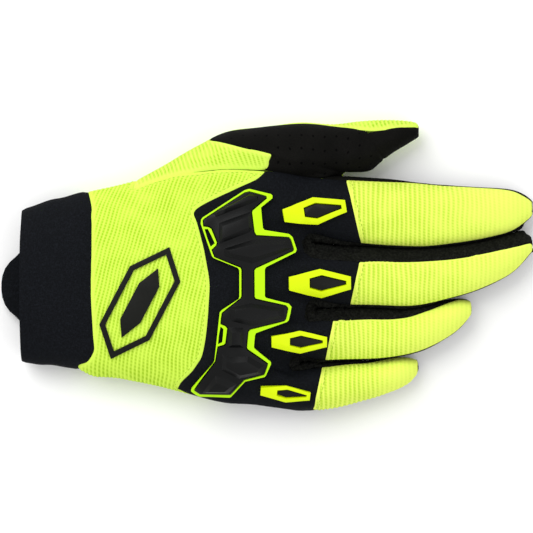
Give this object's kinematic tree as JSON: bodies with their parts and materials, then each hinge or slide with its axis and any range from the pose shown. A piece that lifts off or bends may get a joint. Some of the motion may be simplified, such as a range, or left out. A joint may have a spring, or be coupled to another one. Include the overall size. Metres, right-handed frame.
{
  "type": "motocross glove",
  "caption": "Hollow right-hand riding glove lying palm down: ribbed knit back and fingers, suede palm and thumb, moulded knuckle and finger guards, pull-on cuff with a tab.",
  "frame": {"origin": "under the middle of the glove's box, on the surface that it lies on", "axes": "+X towards the fingertips, +Y towards the thumb, +Z off the surface, out of the back of the hand"},
  "size_m": [0.24, 0.1306, 0.0371],
  "materials": {
    "neon_knit": "ribbed stretch knit in fluorescent yellow, matte",
    "black_stretch": "dense matte stretch fabric",
    "black_suede": "synthetic suede, soft matte nap",
    "black_mesh": "gathered stretch mesh",
    "black_neoprene": "fabric-faced neoprene, matte",
    "black_rubber": "moulded thermoplastic rubber, satin",
    "neon_rubber": "moulded fluorescent rubber, satin",
    "black_print": "raised silicone print, satin"
  },
  "bodies": {
    "root": {"cuff": "black_neoprene", "pull_tab": "black_neoprene", "back_panel": "neon_knit", "knuckle_panel": "black_stretch", "finger_back_index": "neon_knit", "finger_back_middle": "neon_knit", "finger_back_ring": "neon_knit", "finger_back_little": "neon_knit", "fourchette_1": "black_mesh", "fourchette_2": "black_mesh", "fourchette_3": "black_mesh", "palm": "black_suede", "thumb_back": "neon_knit", "thumb_palm": "black_suede", "thumb_tip": "black_suede", "knuckle_guard": "black_rubber", "guard_trim": "neon_rubber", "finger_guard_index": "neon_rubber", "finger_guard_middle": "neon_rubber", "finger_guard_ring": "neon_rubber", "finger_guard_little": "neon_rubber", "guard_insert_index": "black_rubber", "guard_insert_middle": "black_rubber", "guard_insert_ring": "black_rubber", "guard_insert_little": "black_rubber", "motif_ring": "black_print", "motif_bar": "black_print"}
  },
  "joints": []
}
